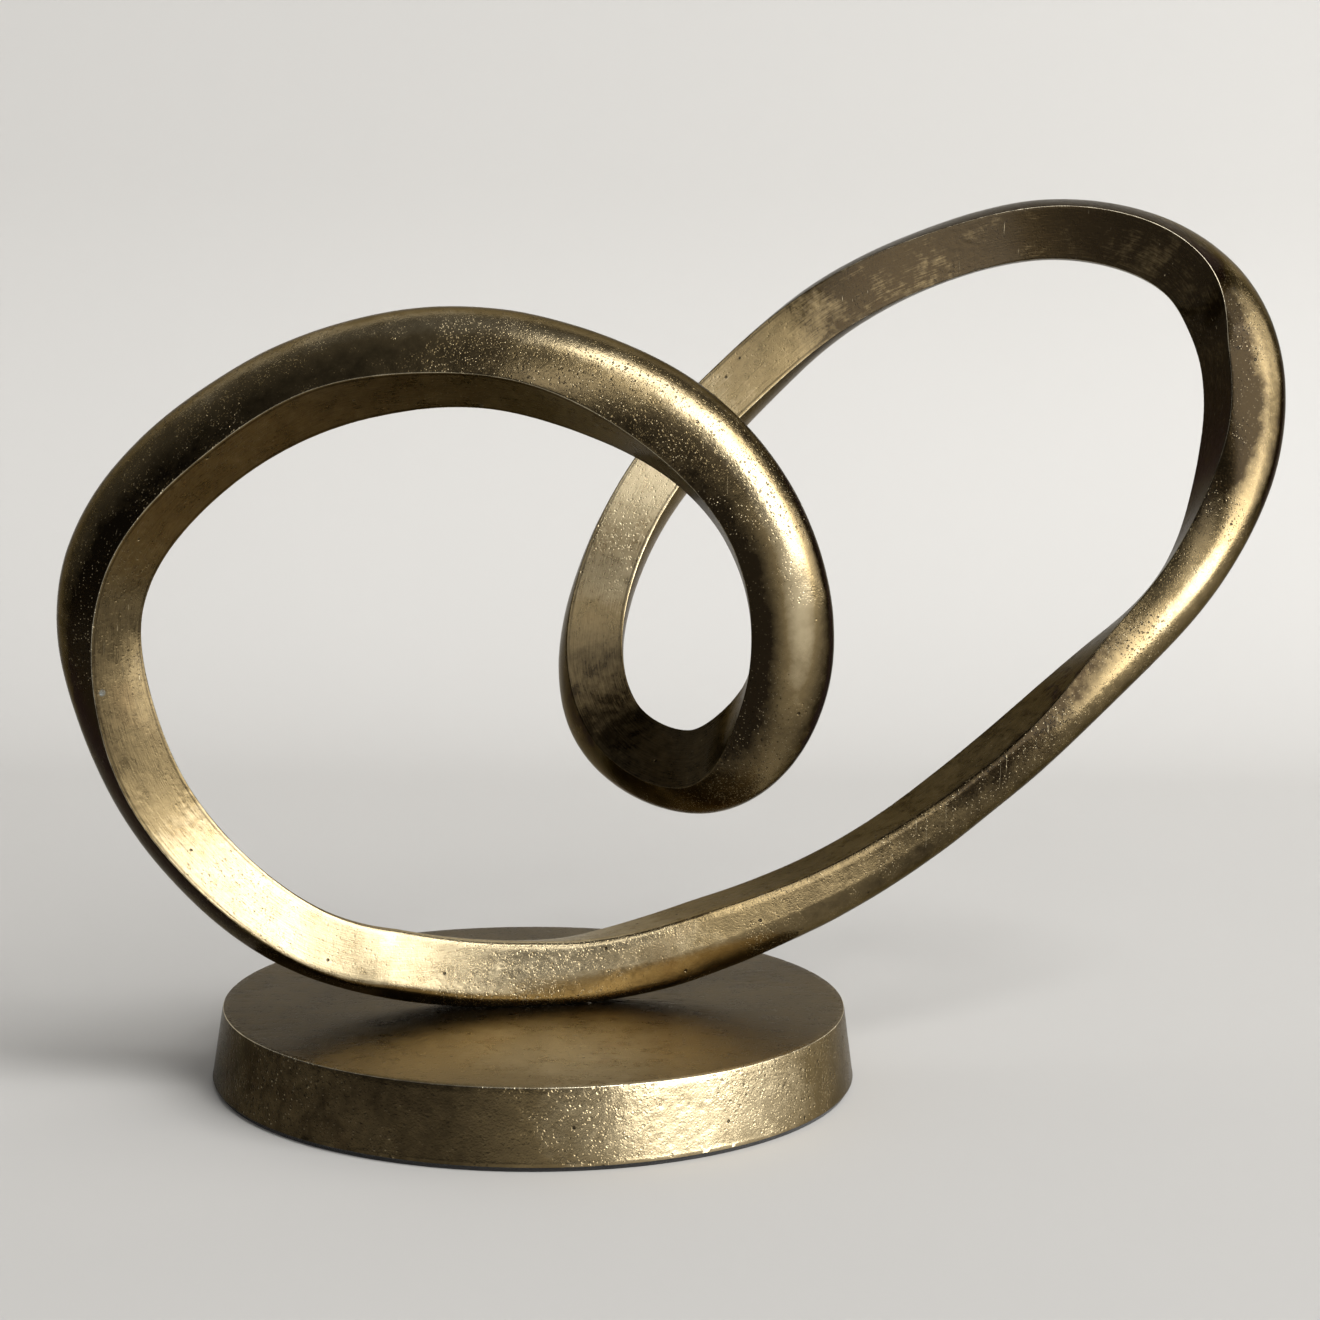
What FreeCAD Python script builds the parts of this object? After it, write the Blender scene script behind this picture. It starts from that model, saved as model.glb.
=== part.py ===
import FreeCAD, Part
import os
from math import cos, floor, hypot, pi, radians, sin, sqrt

# Abstract knot sculpture: one closed ribbon of cast metal on a round cast base.
# Millimetres, +Z up, origin at the middle of the pad's underside, front towards -Y.

# Reach of the ribbon's centre line
knot_width = 400.0
knot_reach = 150.0
knot_rise = 240.0

# Ribbon section: a flat face with a rounded back
ribbon_width = 20.0
ribbon_depth = 25.0
flat_width_share = 0.87
edge_bevel = 0.7
seat_flat_depth = 0.8

# Welded butt joints between the castings
weld_width = 3.0
weld_depth = 3.5

# Base and pad
base_diameter = 200.0
base_draft = 3.2
base_thickness = 22.0
base_edge_chamfer = 0.5
pad_thickness = 1.2
pad_inset = 1.0

# Screws that hold the knot to the base, from below
screw_diameter = 6.0
screw_spacing = 28.0
screw_engagement = 10.4
screw_head_diameter = 10.0
screw_head_height = 6.0
screw_tip_chamfer = 0.8
hex_key_width = 5.0
hex_key_depth = 3.0
washer_diameter = 12.5
washer_thickness = 1.6
tapped_hole_spare = 2.5
head_recess_spare = 1.4
counterbore_clearance = 1.2
screw_hole_clearance = 0.3
washer_bore_clearance = 0.2
thread_clearance = 0.05
cut_overrun = 5.0

# Heights that follow from the sizes above
base_bottom = pad_thickness
base_top = base_bottom + base_thickness
counterbore_depth = screw_head_height + washer_thickness + head_recess_spare

# The ribbon's centre line, walked from the seat to the left, over the left loop, round the curl,
# behind the front strand, over the right loop and back down to the seat. Each row holds the place
# as shares of width, reach and rise, the turn of the flat face in degrees from the front towards
# the inside of the bend, and the section's width and depth as shares of the ribbon's sizes.
station_shares = [
    (0.005, -0.040, 0.000, 80, 1.03, 0.86),
    (-0.105, -0.080, 0.012, 28, 1.05, 0.94),
    (-0.195, -0.120, 0.067, 25, 1.03, 0.98),
    (-0.265, -0.160, 0.181, 25, 1.03, 0.96),
    (-0.305, -0.193, 0.308, 26, 1.05, 0.98),
    (-0.325, -0.220, 0.450, 44, 1.00, 1.00),
    (-0.300, -0.240, 0.583, 50, 1.05, 1.06),
    (-0.235, -0.267, 0.692, 52, 1.05, 1.06),
    (-0.158, -0.293, 0.762, 48, 1.08, 1.10),
    (-0.072, -0.320, 0.792, 57, 1.08, 1.10),
    (0.012, -0.347, 0.775, 62, 1.08, 1.08),
    (0.095, -0.360, 0.712, 78, 1.08, 1.06),
    (0.155, -0.360, 0.608, 88, 1.08, 0.98),
    (0.182, -0.333, 0.479, 95, 1.08, 0.98),
    (0.175, -0.267, 0.354, 90, 1.05, 0.96),
    (0.128, -0.147, 0.267, 42, 1.14, 1.02),
    (0.062, -0.027, 0.296, 24, 1.08, 1.02),
    (0.040, 0.053, 0.396, 4, 1.03, 1.04),
    (0.058, 0.133, 0.521, -8, 0.98, 1.04),
    (0.102, 0.200, 0.646, -14, 1.00, 1.04),
    (0.165, 0.267, 0.760, -12, 1.03, 1.04),
    (0.240, 0.347, 0.868, -2, 1.00, 1.04),
    (0.338, 0.440, 0.948, 5, 0.98, 1.04),
    (0.442, 0.520, 0.983, 10, 1.05, 1.04),
    (0.546, 0.580, 0.946, 26, 1.08, 1.14),
    (0.605, 0.600, 0.838, 64, 1.00, 1.10),
    (0.608, 0.553, 0.679, 78, 1.03, 1.04),
    (0.560, 0.467, 0.504, 103, 1.03, 0.80),
    (0.485, 0.380, 0.379, 94, 1.03, 0.78),
    (0.400, 0.280, 0.262, 72, 1.03, 0.78),
    (0.298, 0.180, 0.144, 78, 1.03, 0.80),
    (0.206, 0.093, 0.070, 84, 1.05, 0.84),
    (0.105, 0.013, 0.019, 88, 1.05, 0.92),
]
station_count = len(station_shares)

# Where the castings are welded together, as shares of the closed centre line
lower_left_joint_share = 0.164
curl_joint_share = 0.503
back_strand_joint_share = 0.62
right_joint_share = 0.8
sections_per_station = 2

lower_left_joint = lower_left_joint_share * station_count
curl_joint = curl_joint_share * station_count
back_strand_joint = back_strand_joint_share * station_count
right_joint = right_joint_share * station_count


def spline_controls():
    """Control rows of the closed cubic B-spline that passes through every station."""
    rows = [list(row) for row in station_shares]
    for sweep in range(60):
        for i, target in enumerate(station_shares):
            before = rows[i - 1]
            after = rows[(i + 1) % station_count]
            rows[i] = [(6 * q - a - b) / 4 for q, a, b in zip(target, before, after)]
    return rows


control_shares = spline_controls()


def blend_rows(weights, first):
    """Weighted sum of four neighbouring control rows."""
    rows = [control_shares[(first + k) % station_count] for k in range(4)]
    return [sum(w * row[c] for w, row in zip(weights, rows)) for c in range(6)]


def path_values(station):
    """Spline values and their slope at a place along the centre line."""
    whole = floor(station)
    u = station - whole
    value_weights = [(1 - u) ** 3 / 6, (3 * u ** 3 - 6 * u ** 2 + 4) / 6,
                     (-3 * u ** 3 + 3 * u ** 2 + 3 * u + 1) / 6, u ** 3 / 6]
    slope_weights = [-(1 - u) ** 2 / 2, (3 * u ** 2 - 4 * u) / 2,
                     (-3 * u ** 2 + 2 * u + 1) / 2, u ** 2 / 2]
    return blend_rows(value_weights, whole - 1), blend_rows(slope_weights, whole - 1)


def centre_height():
    """Height of the centre line at the seat, where the back of the section is ground flat."""
    return base_top + ribbon_depth * station_shares[0][5] / 2 - seat_flat_depth


def place_section(station):
    """Centre, tangent, facing and sideways directions, width and depth of one section."""
    values, slopes = path_values(station)
    centre = FreeCAD.Vector(values[0] * knot_width, values[1] * knot_reach,
                            centre_height() + values[2] * knot_rise)
    tangent = FreeCAD.Vector(slopes[0] * knot_width, slopes[1] * knot_reach, slopes[2] * knot_rise)
    tangent.normalize()
    front = FreeCAD.Vector(0, -1, 0)
    front = front - tangent * front.dot(tangent)
    front.normalize()
    inside = tangent.cross(front)
    turn = radians(values[3])
    facing = front * cos(turn) + inside * sin(turn)
    sideways = facing.cross(tangent)
    return centre, tangent, facing, sideways, values[4] * ribbon_width, values[5] * ribbon_depth


def section_wire(station, inset=0.0):
    """Closed wire of the section: flat, two bevels, two gently swelling sides and a round back."""
    centre, tangent, facing, sideways, width, depth = place_section(station)
    flat = flat_width_share * width - 2 * inset
    width = width - 2 * inset
    depth = depth - 2 * inset
    widest = (width - depth) / 2
    swell = (width - flat) / 2
    side_height = depth / 2 - widest
    side_radius = (swell ** 2 + side_height ** 2) / (2 * swell)

    def spot(across, up):
        return centre + sideways * across + facing * up

    def side_spot(up):
        rise = up - widest
        return width / 2 - side_radius + sqrt(side_radius ** 2 - rise ** 2)

    top = depth / 2
    shoulder = top - edge_bevel
    shoulder_half = side_spot(shoulder)
    flat_half = shoulder_half - edge_bevel
    mid_half = side_spot((shoulder + widest) / 2)
    back = widest - width / 2
    diagonal = width / 2 * sqrt(0.5)
    edges = [Part.makeLine(spot(-flat_half, top), spot(flat_half, top)),
             Part.makeLine(spot(flat_half, top), spot(shoulder_half, shoulder)),
             Part.Arc(spot(shoulder_half, shoulder), spot(mid_half, (shoulder + widest) / 2),
                      spot(width / 2, widest)).toShape(),
             Part.Arc(spot(width / 2, widest), spot(diagonal, widest - diagonal),
                      spot(0, back)).toShape(),
             Part.Arc(spot(0, back), spot(-diagonal, widest - diagonal),
                      spot(-width / 2, widest)).toShape(),
             Part.Arc(spot(-width / 2, widest), spot(-mid_half, (shoulder + widest) / 2),
                      spot(-shoulder_half, shoulder)).toShape(),
             Part.makeLine(spot(-shoulder_half, shoulder), spot(-flat_half, top))]
    return Part.Wire(edges)


def speed(station):
    """Length of centre line per station."""
    slopes = path_values(station)[1]
    return hypot(slopes[0] * knot_width, slopes[1] * knot_reach, slopes[2] * knot_rise)


def weld_reach(joint):
    """Half the weld's width, in stations."""
    return weld_width / 2 / speed(joint)


def loft_stations(start, end):
    """Evenly spaced stations from start to end."""
    steps = max(2, round((end - start) * sections_per_station))
    return [start + (end - start) * i / steps for i in range(steps + 1)]


def casting(start_joint, end_joint):
    """Solid ribbon between two joints, with each end tapered for its weld."""
    start = start_joint + weld_reach(start_joint)
    end = end_joint - weld_reach(end_joint)
    body = Part.makeLoft([section_wire(s) for s in loft_stations(start, end)], True, False)
    nose = Part.makeLoft([section_wire(start_joint, weld_depth), section_wire(start)], True, True)
    tail = Part.makeLoft([section_wire(end), section_wire(end_joint, weld_depth)], True, True)
    return body.fuse([nose, tail])


def weld_ring(joint):
    """Weld metal that fills the groove between two tapered ends."""
    reach = weld_reach(joint)
    middle = section_wire(joint, weld_depth)
    before = section_wire(joint - reach)
    after = section_wire(joint + reach)
    slab = Part.makeLoft([before, section_wire(joint), after], True, True)
    nose = Part.makeLoft([middle, after], True, True)
    tail = Part.makeLoft([before, middle], True, True)
    return slab.cut([nose, tail])


def cylinder(radius, height, centre):
    """Upright cylinder from its lower face's centre."""
    return Part.makeCylinder(radius, height, centre)


def screw_places():
    """Axis of each screw where it meets the top of the base, in line with the seat."""
    places = []
    for side in (-1, 1):
        station = side * screw_spacing / 2 / speed(0)
        values = path_values(station)[0]
        places.append(FreeCAD.Vector(values[0] * knot_width, values[1] * knot_reach, base_top))
    return places


def tapped_holes():
    """Blind holes in the seat for the screws."""
    depth = screw_engagement + tapped_hole_spare
    radius = screw_diameter / 2 + thread_clearance
    drop = FreeCAD.Vector(0, 0, cut_overrun)
    return [cylinder(radius, depth + cut_overrun, place - drop) for place in screw_places()]


def below_base_top():
    """Block that grinds the seat flat at the top of the base."""
    side = base_diameter
    corner = FreeCAD.Vector(-side / 2, -side / 2, base_top - ribbon_depth)
    return Part.makeBox(side, side, ribbon_depth, corner)


def seat_casting():
    """Lower strand, seat and lower left of the knot, drilled from below."""
    ribbon = casting(right_joint, lower_left_joint + station_count)
    return ribbon.cut([below_base_top()] + tapped_holes())


def base_disc():
    """Drafted disc with a small chamfer at both rims and a counterbored hole for each screw."""
    low = base_diameter / 2
    high = low - base_draft
    chamfer = base_edge_chamfer
    outline = [(0, base_bottom), (low - chamfer, base_bottom), (low, base_bottom + chamfer),
               (high + chamfer * base_draft / base_thickness, base_top - chamfer),
               (high - chamfer, base_top), (0, base_top), (0, base_bottom)]
    face = Part.Face(Part.makePolygon([FreeCAD.Vector(r, 0, z) for r, z in outline]))
    disc = face.revolve(FreeCAD.Vector(0, 0, 0), FreeCAD.Vector(0, 0, 1), 360)
    cuts = []
    for place in screw_places():
        floor_place = FreeCAD.Vector(place.x, place.y, base_bottom - cut_overrun)
        wide = washer_diameter / 2 + counterbore_clearance
        narrow = screw_diameter / 2 + screw_hole_clearance
        cuts.append(cylinder(wide, cut_overrun + counterbore_depth, floor_place))
        cuts.append(cylinder(narrow, base_thickness + 2 * cut_overrun, floor_place))
    return disc.cut(cuts)


def base_pad():
    """Thin soft pad glued under the base, over the screw heads."""
    return cylinder(base_diameter / 2 - pad_inset, pad_thickness, FreeCAD.Vector(0, 0, 0))


def washer(place):
    """Plain washer on the floor of a counterbore."""
    low = FreeCAD.Vector(place.x, place.y, base_bottom + counterbore_depth - washer_thickness)
    bore = cylinder(screw_diameter / 2 + washer_bore_clearance, washer_thickness, low)
    return cylinder(washer_diameter / 2, washer_thickness, low).cut(bore)


def hex_key_socket(low):
    """Six-sided recess that opens at the underside of a screw's head."""
    corner_radius = hex_key_width / sqrt(3)
    corners = [low + FreeCAD.Vector(cos(pi / 3 * i), sin(pi / 3 * i), 0) * corner_radius
               for i in range(7)]
    return Part.Face(Part.makePolygon(corners)).extrude(FreeCAD.Vector(0, 0, hex_key_depth))


def screw(place):
    """Socket-head screw, head down, from the washer up into the seat."""
    under_head = base_bottom + counterbore_depth - washer_thickness
    head_low = FreeCAD.Vector(place.x, place.y, under_head - screw_head_height)
    tip = base_top + screw_engagement
    shank_low = FreeCAD.Vector(place.x, place.y, under_head)
    shank = cylinder(screw_diameter / 2, tip - screw_tip_chamfer - under_head, shank_low)
    tip_low = FreeCAD.Vector(place.x, place.y, tip - screw_tip_chamfer)
    point = Part.makeCone(screw_diameter / 2, screw_diameter / 2 - screw_tip_chamfer,
                          screw_tip_chamfer, tip_low)
    head = cylinder(screw_head_diameter / 2, screw_head_height, head_low).cut(hex_key_socket(head_low))
    return head.fuse([shank, point]).removeSplitter()


def save(name, shape):
    """Write one node and report its solids and volume."""
    print(name, "solids", len(shape.Solids), "valid", shape.isValid(), "volume", round(shape.Volume))
    shape.exportStep("parts/" + name + ".step")


os.makedirs("parts", exist_ok=True)
joints = [lower_left_joint, curl_joint, back_strand_joint, right_joint]
save("left_loop_casting", casting(lower_left_joint, curl_joint))
save("back_link_casting", casting(curl_joint, back_strand_joint))
save("right_loop_casting", casting(back_strand_joint, right_joint))
save("seat_casting", seat_casting())
save("weld_seams", Part.makeCompound([weld_ring(joint) for joint in joints]))
save("base_disc", base_disc())
save("base_pad", base_pad())
save("washers", Part.makeCompound([washer(place) for place in screw_places()]))
save("base_screws", Part.makeCompound([screw(place) for place in screw_places()]))
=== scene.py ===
import math

import bpy
import numpy as np
from mathutils import Matrix, Vector


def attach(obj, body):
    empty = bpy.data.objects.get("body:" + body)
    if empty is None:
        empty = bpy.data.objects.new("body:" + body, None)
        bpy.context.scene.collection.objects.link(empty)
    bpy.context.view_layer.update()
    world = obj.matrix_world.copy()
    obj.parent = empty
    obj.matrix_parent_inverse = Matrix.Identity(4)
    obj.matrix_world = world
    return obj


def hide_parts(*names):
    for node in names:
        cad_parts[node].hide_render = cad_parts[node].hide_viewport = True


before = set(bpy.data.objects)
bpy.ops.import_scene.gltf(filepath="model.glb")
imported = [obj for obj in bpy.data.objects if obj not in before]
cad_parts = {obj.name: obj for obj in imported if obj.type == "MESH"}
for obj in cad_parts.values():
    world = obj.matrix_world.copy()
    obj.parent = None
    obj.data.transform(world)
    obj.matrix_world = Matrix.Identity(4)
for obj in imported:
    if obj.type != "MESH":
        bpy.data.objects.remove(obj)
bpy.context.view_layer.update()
print("frame loaded")


class Reading:
    # one node output that can be used in sums like a number

    def __init__(self, bench, socket):
        self.bench = bench
        self.socket = socket

    def other(self, name):
        return Reading(self.bench, self.socket.node.outputs[name])

    def combine(self, operation, value, reflected=False):
        pair = [value, self] if reflected else [self, value]
        wide = any(isinstance(v, tuple) or getattr(v, "isWide", False) for v in pair)
        kind = "ShaderNodeVectorMath" if wide else "ShaderNodeMath"
        return self.bench.add(kind, {"operation": operation}, dict(enumerate(pair)))

    @property
    def isWide(self):
        return self.socket.type in ("VECTOR", "RGBA")

    def __add__(self, value):
        return self.combine("ADD", value)

    def __radd__(self, value):
        return self.combine("ADD", value, True)

    def __sub__(self, value):
        return self.combine("SUBTRACT", value)

    def __rsub__(self, value):
        return self.combine("SUBTRACT", value, True)

    def __mul__(self, value):
        return self.combine("MULTIPLY", value)

    def __rmul__(self, value):
        return self.combine("MULTIPLY", value, True)

    def __truediv__(self, value):
        return self.combine("DIVIDE", value)

    def __rtruediv__(self, value):
        return self.combine("DIVIDE", value, True)

    def __pow__(self, value):
        return self.combine("POWER", value)


class Bench:
    # adds nodes to one tree

    def __init__(self, tree):
        self.tree = tree

    def add(self, nodeType, settings=None, sockets=None, output=0):
        node = self.tree.nodes.new(nodeType)
        for name, value in (settings or {}).items():
            if name == "stops":
                elements = node.color_ramp.elements
                while len(elements) < len(value):
                    elements.new(0.5)
                for element, (place, colour) in zip(elements, value):
                    element.position = place
                    element.color = (*colour, 1)
            else:
                setattr(node, name, value)
        for key, value in (sockets or {}).items():
            socket = node.inputs[key]
            if isinstance(value, Reading):
                self.tree.links.new(value.socket, socket)
            elif socket.type == "RGBA":
                socket.default_value = (*value, 1) if len(value) == 3 else value
            elif socket.type == "VECTOR" and isinstance(value, (int, float)):
                socket.default_value = (value, value, value)
            else:
                socket.default_value = value
        return Reading(self, node.outputs[output]) if len(node.outputs) else None

    def noise(self, where, scale, detail=2.0, roughness=0.5, distortion=0.0):
        return self.add("ShaderNodeTexNoise", None, {"Vector": where, "Scale": scale, "Detail": detail,
                                                     "Roughness": roughness, "Distortion": distortion})

    def cells(self, where, scale):
        return self.add("ShaderNodeTexVoronoi", None, {"Vector": where, "Scale": scale})

    def ease(self, value, low, high, start=0.0, end=1.0):
        return self.add("ShaderNodeMapRange", {"interpolation_type": "SMOOTHSTEP"},
                        {"Value": value, "From Min": low, "From Max": high, "To Min": start, "To Max": end})

    def mixColour(self, share, first, second, blend="MIX"):
        return self.add("ShaderNodeMix", {"data_type": "RGBA", "blend_type": blend},
                        {0: share, 6: first, 7: second}, output=2)

    def fade(self, share, first, second):
        return self.add("ShaderNodeMix", {"data_type": "FLOAT"}, {0: share, 2: first, 3: second})


def linear(red, green, blue):
    # screen colour of 0 to 255 as the shader's linear colour
    return tuple(((c / 255 + 0.055) / 1.055) ** 2.4 if c > 10 else c / 255 / 12.92
                 for c in (red, green, blue))


def addSocket(tree, name, socketType, value=None):
    socket = tree.interface.new_socket(name=name, in_out="INPUT", socket_type=socketType)
    if value is not None:
        socket.default_value = value
    return socket


def newTree(name):
    tree = bpy.data.node_groups.new(name, "GeometryNodeTree")
    addSocket(tree, "Geometry", "NodeSocketGeometry")
    tree.interface.new_socket(name="Geometry", in_out="OUTPUT", socket_type="NodeSocketGeometry")
    return tree


def endTree(bench, geometry, finish):
    whole = bench.add("GeometryNodeRealizeInstances", None, {"Geometry": geometry})
    coated = bench.add("GeometryNodeSetMaterial", None, {"Geometry": whole, "Material": finish})
    bench.add("NodeGroupOutput", None, {"Geometry": coated})


def bakeTree(obj, tree, values):
    # runs a geometry tree on an object and keeps the result as its plain mesh
    modifier = obj.modifiers.new(tree.name, "NODES")
    modifier.node_group = tree
    for item in tree.interface.items_tree:
        if item.item_type == "SOCKET" and item.in_out == "INPUT" and item.name in values:
            modifier[item.identifier] = values[item.name]
    graph = bpy.context.evaluated_depsgraph_get()
    mesh = bpy.data.meshes.new_from_object(obj.evaluated_get(graph), preserve_all_data_layers=True,
                                           depsgraph=graph)
    obj.modifiers.remove(modifier)
    old = obj.data
    obj.data = mesh
    bpy.data.meshes.remove(old)
    mesh.name = obj.name
    return obj


def addObject(name, mesh):
    obj = bpy.data.objects.new(name, mesh)
    bpy.context.scene.collection.objects.link(obj)
    return obj


# camera where the photograph was taken from
cameraValues = {
    "place": (0.00036, -0.7222, 0.2140),
    "pitchDown": 0.1158,
    "yawRight": 0.0513,
    "roll": 0.0153,
    "lens": 64.1,
}


def addCamera():
    pitch, yaw, roll = (cameraValues[k] for k in ("pitchDown", "yawRight", "roll"))
    ahead = Vector((math.sin(yaw) * math.cos(pitch), math.cos(yaw) * math.cos(pitch), -math.sin(pitch)))
    right = Vector((math.cos(yaw), -math.sin(yaw), 0))
    up = right.cross(ahead)
    rolledRight = right * math.cos(roll) + up * math.sin(roll)
    rolledUp = up * math.cos(roll) - right * math.sin(roll)
    data = bpy.data.cameras.new("studioCamera")
    data.lens = cameraValues["lens"]
    data.sensor_width = 36
    data.clip_start = 0.01
    camera = addObject("studioCamera", data)
    camera.matrix_world = Matrix.Translation(cameraValues["place"]) @ Matrix(
        (rolledRight, rolledUp, -ahead)).transposed().to_4x4()
    bpy.context.scene.camera = camera


addCamera()
print("camera set")


reliefValues = {
    "patchScale": 26.0,
    "patchEdges": (0.62, 0.75),
    "patchShift": 0.3,
    "pitEdges": (0.42, 0.12),
    "creaseAngle": 0.7,
}


def makeReliefTree():
    # cast relief: slow hand-finished waves and shallow casting pits, always inwards
    tree = newTree("castRelief")
    for name, value in (("Wave Depth", 0.0003), ("Wave Size", 0.03), ("Ripple Depth", 0.0001),
                        ("Ripple Size", 0.008), ("Pit Depth", 0.0002), ("Pit Size", 0.002),
                        ("Pit Cover", 0.5), ("Lowest Height", -1.0)):
        addSocket(tree, name, "NodeSocketFloat", value)
    addSocket(tree, "Seed", "NodeSocketVector", (0.0, 0.0, 0.0))
    addSocket(tree, "Finish", "NodeSocketMaterial")
    bench = Bench(tree)
    given = bench.add("NodeGroupInput")
    place = bench.add("GeometryNodeInputPosition") + given.other("Seed")
    waves = bench.noise(place, 1 / given.other("Wave Size"), 1.0)
    ripples = bench.noise(place, 1 / given.other("Ripple Size"), 2.0)
    dots = bench.cells(place, 1 / given.other("Pit Size"))
    patch = bench.noise(place + (0.7, 0.2, 0.4), reliefValues["patchScale"], 3.0)
    low, high = (edge - given.other("Pit Cover") * reliefValues["patchShift"]
                 for edge in reliefValues["patchEdges"])
    pits = bench.ease(dots, *reliefValues["pitEdges"]) * bench.ease(patch, low, high)
    inward = (waves * given.other("Wave Depth") + ripples * given.other("Ripple Depth")
              + pits * given.other("Pit Depth"))
    outward = bench.add("GeometryNodeInputNamedAttribute", {"data_type": "FLOAT_VECTOR"}, {"Name": "outward"})
    shift = bench.add("ShaderNodeVectorMath", {"operation": "SCALE"}, {0: outward, "Scale": inward * -1.0})
    moved = bench.add("GeometryNodeSetPosition", None, {"Geometry": given.other("Geometry"), "Offset": shift})
    spot = bench.add("GeometryNodeInputPosition")
    split = bench.add("ShaderNodeSeparateXYZ", None, {0: spot})
    height = bench.add("ShaderNodeMath", {"operation": "MAXIMUM"},
                       {0: split.other("Z"), 1: given.other("Lowest Height")})
    lifted = bench.add("ShaderNodeCombineXYZ", None, {0: split.other("X"), 1: split.other("Y"), 2: height})
    ground = bench.add("GeometryNodeSetPosition", None, {"Geometry": moved, "Position": lifted})
    smooth = bench.add("GeometryNodeSetShadeSmooth", None, {"Geometry": ground})
    bend = bench.add("GeometryNodeInputMeshEdgeAngle")
    creased = bench.add("ShaderNodeMath", {"operation": "GREATER_THAN"},
                        {0: bend, 1: reliefValues["creaseAngle"]})
    smooth = bench.add("GeometryNodeSetShadeSmooth", {"domain": "EDGE"},
                       {"Geometry": smooth, "Selection": creased, "Shade Smooth": False})
    endTree(bench, smooth, given.other("Finish"))
    return tree


# the ribbon's sizes, a painted highlight and shade at the crown, and where along it these and the rubbed
# edges are stronger
ribbon = {
    "knotWidth": 0.400,
    "knotReach": 0.150,
    "knotRise": 0.240,
    "width": 0.020,
    "depth": 0.025,
    "flatShare": 0.87,
    "widestShare": 0.05,
    "sideLean": 0.09,
    "edgeBevel": 0.0007,
    "seatFlat": 0.0008,
    "weldWidth": 0.003,
    "weldDepth": 0.0035,
    "meshStep": 0.0007,
    "mergeDistance": 0.000005,
    "crownShare": 0.31,
    "crownSpread": 0.09,
    "paintedCrownLift": 0.32,
    "crownPeak": 1.4,
    "paintedShadeBesideCrown": -0.6,
    "crownWear": ((0.0, 10.5, 12.0, 13.1, 13.6, 14.1, 15.0, 33.0), (1.0, 1.0, 2.1, 2.4, 1.5, 0.8, 1.0, 1.0)),
    "edgeWear": ((0.0, 12.5, 13.5, 16.5, 17.5, 33.0), (1.0, 1.0, 0.1, 0.1, 1.0, 1.0)),
}
padThickness = 0.0012
baseThickness = 0.022
baseTop = padThickness + baseThickness

# walked from the seat to the left, over the left loop, round the curl, behind the front strand,
# over the right loop and back: place, turn of the flat face in degrees, width and depth, as shares
stationShares = np.array([
    (0.005, -0.040, 0.000, 80, 1.03, 0.86),
    (-0.105, -0.080, 0.012, 28, 1.05, 0.94),
    (-0.195, -0.120, 0.067, 25, 1.03, 0.98),
    (-0.265, -0.160, 0.181, 25, 1.03, 0.96),
    (-0.305, -0.193, 0.308, 26, 1.05, 0.98),
    (-0.325, -0.220, 0.450, 44, 1.00, 1.00),
    (-0.300, -0.240, 0.583, 50, 1.05, 1.06),
    (-0.235, -0.267, 0.692, 52, 1.05, 1.06),
    (-0.158, -0.293, 0.762, 48, 1.08, 1.10),
    (-0.072, -0.320, 0.792, 57, 1.08, 1.10),
    (0.012, -0.347, 0.775, 62, 1.08, 1.08),
    (0.095, -0.360, 0.712, 78, 1.08, 1.06),
    (0.155, -0.360, 0.608, 88, 1.08, 0.98),
    (0.182, -0.333, 0.479, 95, 1.08, 0.98),
    (0.175, -0.267, 0.354, 90, 1.05, 0.96),
    (0.128, -0.147, 0.267, 42, 1.14, 1.02),
    (0.062, -0.027, 0.296, 24, 1.08, 1.02),
    (0.040, 0.053, 0.396, 4, 1.03, 1.04),
    (0.058, 0.133, 0.521, -8, 0.98, 1.04),
    (0.102, 0.200, 0.646, -14, 1.00, 1.04),
    (0.165, 0.267, 0.760, -12, 1.03, 1.04),
    (0.240, 0.347, 0.868, -2, 1.00, 1.04),
    (0.338, 0.440, 0.948, 5, 0.98, 1.04),
    (0.442, 0.520, 0.983, 10, 1.05, 1.04),
    (0.546, 0.580, 0.946, 26, 1.08, 1.14),
    (0.605, 0.600, 0.838, 64, 1.00, 1.10),
    (0.608, 0.553, 0.679, 78, 1.03, 1.04),
    (0.560, 0.467, 0.504, 103, 1.03, 0.80),
    (0.485, 0.380, 0.379, 94, 1.03, 0.78),
    (0.400, 0.280, 0.262, 72, 1.03, 0.78),
    (0.298, 0.180, 0.144, 78, 1.03, 0.80),
    (0.206, 0.093, 0.070, 84, 1.05, 0.84),
    (0.105, 0.013, 0.019, 88, 1.05, 0.92),
])
# patina and painted shade and highlights at the same stations, below zero darker: rounded side, then flat
patinaAndPaintedLightShares = np.array([
    (0.32, 0.26), (0.24, 0.18), (-0.34, 0.18), (-0.52, 0.06), (-0.62, -0.32), (-0.64, -0.38),
    (-0.48, -0.14), (-0.28, -0.14), (-0.18, -0.20), (-0.12, -0.18), (-0.16, -0.32), (-0.24, -0.44),
    (-0.22, -0.42), (-0.22, -0.36), (-0.44, -0.34), (-0.12, -0.34), (-0.30, -0.54), (-0.30, -0.42),
    (-0.12, 0.46), (-0.04, 0.30), (-0.24, -0.12), (-0.38, -0.54), (-0.46, -0.56), (-0.46, -0.56),
    (-0.46, -0.60), (-0.50, -0.62), (-0.66, -0.60), (-0.12, -0.52), (-0.28, -0.42), (-0.46, -0.40),
    (-0.44, -0.40), (-0.24, -0.30), (0.06, -0.04),
])
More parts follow.
